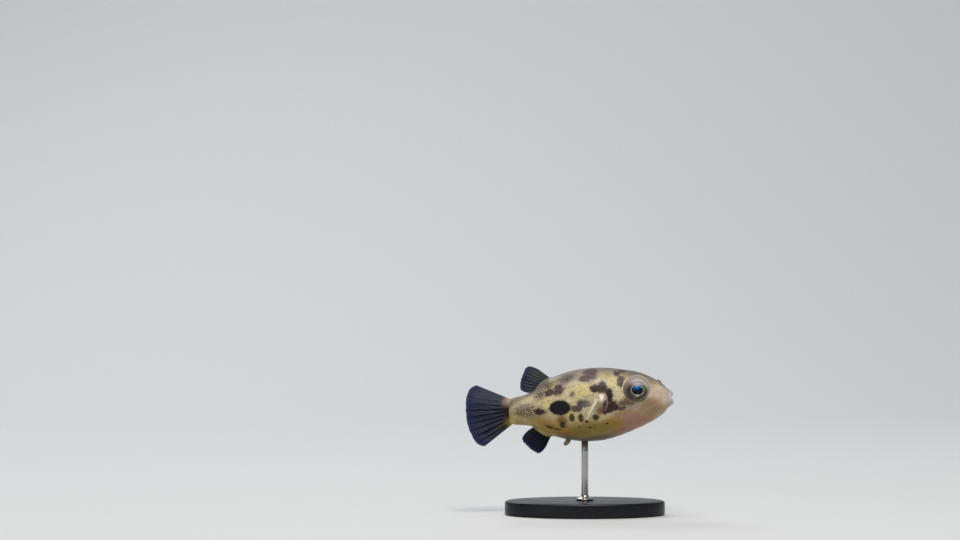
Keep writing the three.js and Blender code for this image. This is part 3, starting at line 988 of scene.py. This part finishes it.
def ray_nearness(across, along, span_width, rays, forks, thin):
    """1 on a ray's middle line and 0 on the film. Span width is the fan's width there, in mm."""
    spread = 0.42 / rays
    offsets = [np.zeros_like(along)]
    for fork in forks:
        spread *= 0.5
        part = spread * ease(fork, fork + 0.3, along)
        offsets = [offset + sign * part for offset in offsets for sign in (-1, 1)]
    nearest = np.full_like(across, 9.0)
    for i in range(rays):
        start = (i + 0.5) / rays
        for offset in offsets:
            nearest = np.minimum(nearest, np.abs(across - start - offset) * span_width)
    return ridge(nearest, thin * (1.2 - 0.6 * along))


# %% Shape a fan


def finish_fan(piece, hub, root, reach, top, bottom, corner, rays, forks, thin, raised, wave):
    """Round the fan's corners, thicken it, raise its rays, wave it and store its paint fields."""
    x, y, z = coordinates(piece)
    arm_x, arm_z = x - hub[0], z - hub[2]
    radius = np.hypot(arm_x, arm_z)
    across = (top - np.degrees(np.arctan2(arm_z, -arm_x))) / (top - bottom)
    along = (radius - root) / (reach - root)
    ragged = 0.4 * np.sin(across * 17 + 1) + 0.25 * np.sin(across * 43)
    ragged -= 0.3 * np.cos(across * rays * 2 * math.pi)
    cut = corner * np.abs(2 * across - 1) ** 8 + RAGGED * reach * (1 + ragged)
    shrink = (root + (reach - root - cut) * along) / radius
    move_to(piece, hub[0] + arm_x * shrink, y, hub[2] + arm_z * shrink)
    store(piece, "plan", np.clip(along, 0, 1), np.clip(across, 0, 1))
    finish_modifier(piece, "SOLIDIFY", thickness=FILM, offset=0)

    plan = np.empty(len(piece.data.vertices) * 4)
    piece.data.color_attributes["plan"].data.foreach_get("color", plan)
    along, across = plan.reshape(-1, 4).T[:2]
    x, y, z = coordinates(piece)
    span_width = math.radians(top - bottom) * (root + (reach - root) * along)
    ray = ray_nearness(across, along, span_width, rays, forks, thin)
    away_from_rim = ease(0.0, 0.03, across) * ease(1.0, 0.97, across) * ease(1.0, 0.94, along)
    lift = raised * ray * (1 - 0.6 * along) * ease(0.1, 0.28, along)
    lift += ROOT_SWELL * ease(0.3, 0.05, along)
    sway = wave * np.sin(across * 3 * math.pi + 0.6) * along**2
    move_to(piece, x, y + np.sign(y) * lift * away_from_rim + sway, z)
    store(piece, "rays", ray, along, across)
    store(piece, "bundles", np.cos((across * rays - 0.5) * 2 * math.pi) * 0.5 + 0.5)
    return piece


# %% [markdown]
# Five fins leave the body: one tail fin, one dorsal fin, one anal fin and a pair of pectoral fins. The hubs
# and angles are those of the solids. The pectoral fins are held out from the flank, cupped, as the fish uses
# them to hover. Their rays are so fine that they hardly stand out of the film.

# %% The five fins
MEDIAN_FINS = {
    "caudal_fin": {
        "hub": (-6.5, 0, 13.35), "root": 2.55, "reach": 8.44, "top": 22, "bottom": -38.5, "corner": 0.8,
        "rays": 10, "forks": (0.22, 0.55), "thin": 0.1, "raised": 0.063, "wave": 0.12,
    },
    "dorsal_fin": {
        "hub": (-1.95, 0, 15.35), "root": 2.3, "reach": 6.24, "top": 36.5, "bottom": -2, "corner": 1.5,
        "rays": 9, "forks": (0.45,), "thin": 0.075, "raised": 0.047, "wave": 0.08,
    },
    "anal_fin": {
        "hub": (-2.45, 0, 13.55), "root": 3.4, "reach": 6.89, "top": -33, "bottom": -64.5, "corner": 1.3,
        "rays": 8, "forks": (0.45,), "thin": 0.075, "raised": 0.052, "wave": 0.08,
    },
}  # fmt: skip
PECTORAL = {
    "hub": (0, 0, 0), "root": 0.75, "reach": 4.45, "top": 12, "bottom": -41, "corner": 1.0,
    "rays": 12, "forks": (0.5,), "thin": 0.06, "raised": 0.012, "wave": 0.1,
}  # fmt: skip
PECTORAL_HUB = Vector((2.68, 3.0, 14.68))
PECTORAL_SPLAY = math.radians(34)
PECTORAL_CUP = 0.035
COLUMNS_PER_RAY = 16
ROWS = 36


def grow_fin(plan):
    """A finished fan from its plan."""
    outline = {key: plan[key] for key in ("hub", "root", "reach", "top", "bottom")}
    return finish_fan(fan(**outline, columns=plan["rays"] * COLUMNS_PER_RAY, rows=ROWS), **plan)


fins = {name: grow_fin(plan) for name, plan in MEDIAN_FINS.items()}
for word, side in (("left", 1), ("right", -1)):
    piece = grow_fin(PECTORAL)
    x, y, z = coordinates(piece)
    move_to(piece, x, side * (y + PECTORAL_CUP * x**2), z)
    piece.rotation_euler.z = -side * PECTORAL_SPLAY
    piece.location = (PECTORAL_HUB.x, side * PECTORAL_HUB.y, PECTORAL_HUB.z)
    settle(piece)
    fins["pectoral_fin_" + word] = piece
for piece in fins.values():
    with editing(piece):
        bpy.ops.mesh.normals_make_consistent(inside=False)
print("fins:", ", ".join(fins))

# %% [markdown]
# The fins' film is clear skin with a blue-violet cast and dark pigment between the rays, and the rays are
# milky bone in short joints. Each fin has its own balance of the two. The tail fin is dark, pale grey along
# its top, olive at the lower root and lavender along its edge. The dorsal fin is olive inside and blue
# outside, and the anal fin is the darkest. The pectoral fins are almost clear, with cream rays, and where
# the cupped fan turns towards the light a narrow bend is painted with a highlight. One function mixes them
# all from the tints that it is given.

# %% Fin materials


def fin_material(name, film, ray, root, root_end, inner, edge, alpha, strength, highlight_strength=0):
    """Film and rays, from the fan's fields. The last number says how strongly a highlight is painted on a
    cupped fin's bend.
    """
    material, place = new_material(name)
    on_ray, along, across = (field("rays", i) for i in range(3))
    cloud = add("TexNoise", {"Vector": place, "Scale": 1.3, "Detail": 3})
    fleck = add("TexNoise", {"Vector": place, "Scale": 9, "Detail": 2})
    fan_place = add("CombineXYZ", (across, product(along, 0.12)))
    bundle = add("TexNoise", {"Vector": fan_place, "Scale": 14, "Detail": 2})
    joint = add("Math", (product(along, 150),), operation="SINE")
    upper = rise(across, 0.42, 0.05)
    lower = rise(across, 0.6, 0.95)
    low_root = product(rise(along, 0.6, 0.15), lower)
    sheath = product(rise(field("bundles", 0), 0.35, 0.9, 0.55 * strength), rise(along, 0.15, 0.4))

    between = coated(
        film[0],
        (rise(cloud, 0.35, 0.65), film[1]),
        (low_root, inner[1]),
        (product(upper, 0.65), inner[0]),
        (sheath, ray[1]),
        (rise(along, 0.7, 1.0, 0.75), edge),
    )
    bone = coated(
        ray[0],
        (rise(fleck, 0.35, 0.65), ray[1]),
        (low_root, ray[2]),
        (rise(joint, 0.3, 1, 0.12), film[0]),
    )
    root_skin = coated(root[1], (upper, root[0]), (lower, root[2]))
    shown = product(rise(on_ray, 0.1, 0.8), rise(bundle, 0.25, 0.6, strength), rise(along, 1.1, 0.65))
    at_root = rise(stirred(along, fleck, 0.2), root_end, 0.4 * root_end)

    curve = add("Math", (across, 4), operation="POWER")
    turn = add("Math", (curve, -1.2, along), operation="MULTIPLY_ADD")
    ray_light = add("Math", (on_ray, 0.12, 0.83), operation="MULTIPLY_ADD")
    # a painted highlight on the narrow bend where the cupped fan turns towards the light
    bend_highlight = product(rise(turn, 0.12, 0.24, highlight_strength), rise(turn, 0.5, 0.34), rise(across, 0.0, 0.3), ray_light)

    opaque = add("Math", (shown, alpha[1] - alpha[0], alpha[0]), operation="MULTIPLY_ADD")
    opaque = product(opaque, rise(along, 1.35, 0.85))
    for solid in (at_root, bend_highlight):
        opaque = add("Math", (opaque, solid), operation="MAXIMUM")
    finish_material(
        {
            "Base Color": coated(between, (shown, bone), (at_root, root_skin), (bend_highlight, "#FFF3D6")),
            "Alpha": opaque,
            "Roughness": 0.42,
            "IOR": 1.38,
            "Specular IOR Level": 0.1,
            "Normal": add("Bump", {"Height": fleck, "Strength": 0.1, "Distance": 0.02 * MM}),
        }
    )
    return material


# %% Five coloured fins
tail_film = fin_material(
    "tail fin film and rays",
    film=("#070912", "#0F1322"), ray=("#5C6272", "#3F4558", "#545632"),
    root=("#BFA592", "#2C2018", "#8A783A"), root_end=0.3, inner=("#5E626A", "#2A2F16"),
    edge="#262B5C", alpha=(0.98, 1.0), strength=0.6,
)  # fmt: skip
back_film = fin_material(
    "dorsal fin film and rays",
    film=("#12162A", "#1E2438"), ray=("#767B70", "#4C5250", "#74744E"),
    root=("#BDB49C", "#A79E86", "#A08E5C"), root_end=0.3, inner=("#464A44", "#3C3E26"),
    edge="#262C60", alpha=(0.95, 0.99), strength=0.75,
)  # fmt: skip
belly_film = fin_material(
    "anal fin film and rays",
    film=("#060816", "#0B0E1E"), ray=("#363C46", "#20262F", "#44461F"),
    root=("#77704E", "#6C6240", "#7A6434"), root_end=0.22, inner=("#2C301C", "#1C1E12"),
    edge="#1E2350", alpha=(0.96, 0.99), strength=0.7,
)  # fmt: skip
side_film = fin_material(
    "pectoral fin film and rays",
    film=("#A8A898", "#B4AE98"), ray=("#D8D0AC", "#C9C2A8", "#CFC29A"),
    root=("#CFC38E", "#A8985E", "#7C5C3C"), root_end=0.34, inner=("#C6B988", "#A8A69C"),
    edge="#98A0B4", alpha=(0.07, 0.34), strength=0.8, highlight_strength=1.0,
)  # fmt: skip
films = {"caudal_fin": tail_film, "dorsal_fin": back_film, "anal_fin": belly_film}
for name, piece in fins.items():
    deliver(piece, "film_" + name, "fin_membrane", films.get(name, side_film), name)

# %% [markdown]
# ## The eyes
#
# A fish's eye is a hard ball with a clear window in front. Behind the window the iris slopes down to the
# pupil like a dish, and a round lens bulges through it. Each part is turned like a pot: a profile is drawn
# from the axis to the rim and spun once around. The window is a separate, clear piece, so the iris keeps its
# depth under the shine.

# %% Turn a profile


def turned(profile, steps):
    """A closed piece made by spinning (radius, height) points about the Z axis."""
    piece = drawn([Vector((radius, 0, height)) for radius, height in profile])
    with editing(piece):
        bpy.ops.mesh.spin(steps=steps, angle=2 * math.pi, center=(0, 0, 0), axis=(0, 0, 1))
        bpy.ops.mesh.select_all(action="SELECT")
        bpy.ops.mesh.remove_doubles(threshold=0.0005)
        bpy.ops.mesh.normals_make_consistent(inside=False)
    return piece


def arc(radius, depth, start, end, steps):
    """Points on an ellipse, angles from the axis in degrees."""
    angles = [math.radians(start + (end - start) * i / steps) for i in range(steps + 1)]
    return [(radius * math.sin(a), depth * math.cos(a)) for a in angles]


# %% Eyeballs and windows
PUPIL = 0.7
PUPIL_SQUEEZE = 0.88
PUPIL_LIFT = 0.13
PUPIL_BACK = 0.1
TEAR = 0.2
NOTCH = 0.15
NOTCH_SPREAD = 24
DOME = EYE_RADIUS - 0.015

lens = [(r, 0.34 + h) for r, h in arc(PUPIL * 0.98, 0.52, 0, 80, 12)]
iris = [(0.7, 0.48), (0.71, 0.53), (0.74, 0.56), (0.78, 0.57), (0.83, 0.56), (0.9, 0.53), (0.98, 0.48)]
iris += [(1.06, 0.42), (1.14, 0.35), (1.2, 0.29), (1.26, 0.2), (1.31, 0.08)]
back_of_ball = arc(0.965 * EYE_RADIUS, 0.95 * EYE_DEPTH, 93, 180, 10)
eye_profile = lens + iris + back_of_ball
window_profile = arc(DOME, EYE_DEPTH - 0.015, 0, 90, 24) + [(0.9 * DOME, -0.05), (0.0, -0.05)]
print("eye profile:", len(eye_profile), "points")


def squeeze_and_map(piece, side):
    """Store distance and directions from the pupil's middle, then draw it to a low, lifted tear."""
    x, y, z = coordinates(piece)
    up = -side * y
    from_middle = np.hypot(x, y)
    below = np.degrees(np.abs(np.arctan2(x, -up)))
    notch = NOTCH * np.clip(1 - below / NOTCH_SPREAD, 0, 1) ** 1.6
    notched = np.where(from_middle > PUPIL, np.maximum(from_middle - notch, PUPIL), from_middle)
    store(piece, "gaze", notched / 2, 0.5 + up / 3, 0.5 + x / 3)
    inner = ease(1.25, 0.8, from_middle)
    tear = 1 + TEAR * inner * (np.clip(np.cos(np.arctan2(up, x) + math.radians(28)), 0, 1) ** 3 - 0.25)
    squeeze = 1 - (1 - PUPIL_SQUEEZE) * inner
    move_to(piece, x * tear - PUPIL_BACK * inner, y * tear * squeeze - side * PUPIL_LIFT * inner, z)


def set_eye(piece, side):
    """Turn a piece's axis outwards and put it in its socket."""
    piece.rotation_euler = (-side * math.pi / 2, 0, 0)
    piece.location = (EYE_CENTRE.x, side * EYE_CENTRE.y, EYE_CENTRE.z)
    settle(piece)


# %% [markdown]
# The iris isn't one colour. It is grey-green behind, dark brown with gold flecks below, green in front and
# silvery lilac above, where the skin's colour runs in under a painted reflection of the light from above. Low
# behind the pupil lies a pale painted glint. A thin cream ring edges the pupil, with a small notch below and
# a thin band of painted shade outside it. The pupil is painted with a reflection: deep blue above, falling to
# black. The rings follow the distance from the pupil's middle, which is stored on the points before the ball
# is turned into its socket. The ball is painted glass without much shine of its own, so that the one sharp
# glint is the window's.

# %% Eye material
ball_paint, place = new_material("painted glass eye")
distance, height, forward = (field("gaze", i) for i in range(3))
glint = add("TexNoise", {"Vector": place, "Scale": 2.6, "Detail": 3, "Roughness": 0.6})
fleck = add("TexNoise", {"Vector": place, "Scale": 8, "Detail": 3})
streaks = stirred(height, fleck, 0.12)
ahead = stirred(forward, glint, 0.25)


def ring(inner, outer, soft=0.03):
    """1 between two distances from the pupil's middle, in millimetres."""
    inside = rise(distance, (inner - soft) / 2, (inner + soft) / 2)
    return product(inside, rise(distance, (outer + soft) / 2, (outer - soft) / 2))


steep = add("Math", (rise(height, 0.54, 0.7), rise(height, 0.3, 0.25)), operation="MAXIMUM")
ring_light = add("Math", (steep, 0.55, 0.45), operation="MULTIPLY_ADD")
# the pupil's painted reflection: bright blue at its top, falling to black below
domed = add("Math", (distance, -0.22, height), operation="MULTIPLY_ADD")
pupil_reflection = add("ValToRGB", (domed,))
stops = [(0.4, "#010203"), (0.5, "#032C58"), (0.57, "#1A5AA0"), (0.64, "#5A9BD0")]
ramp = pupil_reflection.node.color_ramp.elements
while len(ramp) < len(stops):
    ramp.new(0.5)
for element, (position, tint) in zip(ramp, stops):
    element.position = position
    element.color = paint(tint)
print("eye:", len(tree.nodes), "shader nodes before its coats")

# %% Coats of the eye
colour = coated(
    "#38342A",
    (rise(fleck, 0.35, 0.65), "#5C543E"),
    (rise(ahead, 0.42, 0.3, 0.8), "#5E5C50"),
    (product(rise(ahead, 0.5, 0.66, 0.9), rise(streaks, 0.46, 0.34)), "#2A2016"),
    (product(rise(ahead, 0.56, 0.72), rise(streaks, 0.42, 0.6)), "#5F7A42"),
    (rise(streaks, 0.32, 0.18, 0.8), "#443318"),
    (product(rise(fleck, 0.54, 0.68), rise(height, 0.5, 0.2)), "#A08A3E"),
    # a pale painted glint, low behind the pupil
    (product(rise(streaks, 0.24, 0.13), rise(ahead, 0.48, 0.38)), "#9A9C8E"),
    (ring(1.1, 3, 0.1), "#3E372C"),
    # silvery lilac above the pupil: partly the skin's colour, partly a painted reflection of the light from
    # above
    (rise(streaks, 0.69, 0.79, 0.92), "#C3BAB7"),
    # a thin band of painted shade just outside the cream ring
    (product(ring(PUPIL + 0.06, PUPIL + 0.2, 0.06), 0.6), "#5A554C"),
    (product(ring(PUPIL * 0.96, PUPIL + 0.09, 0.02), ring_light), "#F0EAD8"),
    # the pupil, painted with a blue reflection
    (ring(-1, PUPIL * 0.965, 0.015), pupil_reflection),
)
finish_material({"Base Color": colour, "Roughness": 0.3, "IOR": 1.4, "Specular IOR Level": 0.1})

# %% [markdown]
# The window is clear, wet and mirror-smooth. A glass shader would bend and darken what lies behind it, so it
# is let through as it is, and a thin gloss is laid over, stronger towards the rim, as on all that is wet.

# %% Clear window
window_glass, _ = new_material("clear cornea")
clear = add("BsdfTransparent", {"Color": "#FAFBFB"})
shine = add("BsdfGlossy", {"Color": "#FFFFFF", "Roughness": 0.04})
facing = add("Math", (add("Fresnel", {"IOR": 1.3}), 0.05), operation="MINIMUM")
add("OutputMaterial", {"Surface": add("MixShader", (facing, clear, shine))})

for word, side in (("left", 1), ("right", -1)):
    eyeball = turned(eye_profile, 96)
    squeeze_and_map(eyeball, side)
    set_eye(eyeball, side)
    deliver(eyeball, "eyeball_" + word, "eye", ball_paint, "eye_" + word)
    window = turned(window_profile, 96)
    set_eye(window, side)
    deliver(window, "cornea_" + word, "eye", window_glass)

# %% [markdown]
# ## The stand
#
# The base is an oval slice of black anodised aluminium: sawn, turned, blasted with fine beads and dyed. It
# is turned as a round plate, rounded at both rims, and stretched to an oval. The rod is ground steel with a
# small turned foot, and its upper end goes into the belly.

# %% Base and rod
base_low, base_high = bench_box("stand_base")
rod_low, rod_high = bench_box("stand_rod")
BASE = base_high - base_low
ROUNDING = 0.28
ROD_RADIUS = 0.43
ROD_TOP = rod_high.z - rod_low.z + 0.25

flat = BASE.y / 2 - ROUNDING
upper_rim = [(flat + r, BASE.z - ROUNDING + h) for r, h in arc(ROUNDING, ROUNDING, 0, 90, 6)]
lower_rim = [(flat + r, ROUNDING + h) for r, h in arc(ROUNDING, ROUNDING, 90, 180, 6)]
base = turned([(0, BASE.z), *upper_rim, *lower_rim, (0, 0)], 128)
base.scale.x = BASE.x / BASE.y
settle(base)

foot = [(0, 0), (1.05, 0), (1.1, 0.05), (1.1, 0.2), (1.04, 0.26), (0.72, 0.34), (0.52, 0.5)]
shaft = [(ROD_RADIUS, 0.8), (ROD_RADIUS, 3), (ROD_RADIUS, 6), (ROD_RADIUS, ROD_TOP), (0, ROD_TOP)]
rod = turned([(radius, rod_low.z + height) for radius, height in foot + shaft], 48)
print(f"base {BASE.x:.1f} x {BASE.y:.1f} x {BASE.z:.1f} mm, rod {ROD_TOP:.1f} mm")

# %% [markdown]
# Blasted and dyed aluminium is a near-black metal that glows softly instead of mirroring. Ground steel
# catches the light in fine rings round the rod. The pits of the beads and the grinding marks are both finer
# than a twentieth of a millimetre. They are drawn two to three times as coarse, so that they show.

# %% Stand materials
anodised, place = new_material("black anodised aluminium")
beads = add("TexNoise", {"Vector": place, "Scale": 9, "Detail": 2})
patch = add("TexNoise", {"Vector": place, "Scale": 0.35, "Detail": 3})
finish_material(
    {
        "Base Color": coated("#1A1B1E", (patch, "#232428")),
        "Metallic": 0.6,
        "Roughness": add("MapRange", {"Value": patch, "To Min": 0.3, "To Max": 0.42}),
        "Normal": add("Bump", {"Height": beads, "Strength": 0.25, "Distance": 0.02 * MM}),
    }
)
steel, place = new_material("ground stainless steel")
rings = add("Mapping", {"Vector": place, "Scale": (1, 1, 14)})
scratches = add("TexNoise", {"Vector": rings, "Scale": 1.2, "Detail": 3})
finish_material(
    {
        "Base Color": "#B9B7B2",
        "Metallic": 1.0,
        "Roughness": add("MapRange", {"Value": scratches, "To Min": 0.2, "To Max": 0.34}),
        "Normal": add("Bump", {"Height": scratches, "Strength": 0.15, "Distance": 0.01 * MM}),
    }
)
deliver(base, "stand_plate", "stand_base", anodised, "stand_base")
deliver(rod, "stand_pin", "stand_rod", steel, "stand_rod")
take(base)
bpy.ops.object.shade_smooth_by_angle(angle=math.radians(40))
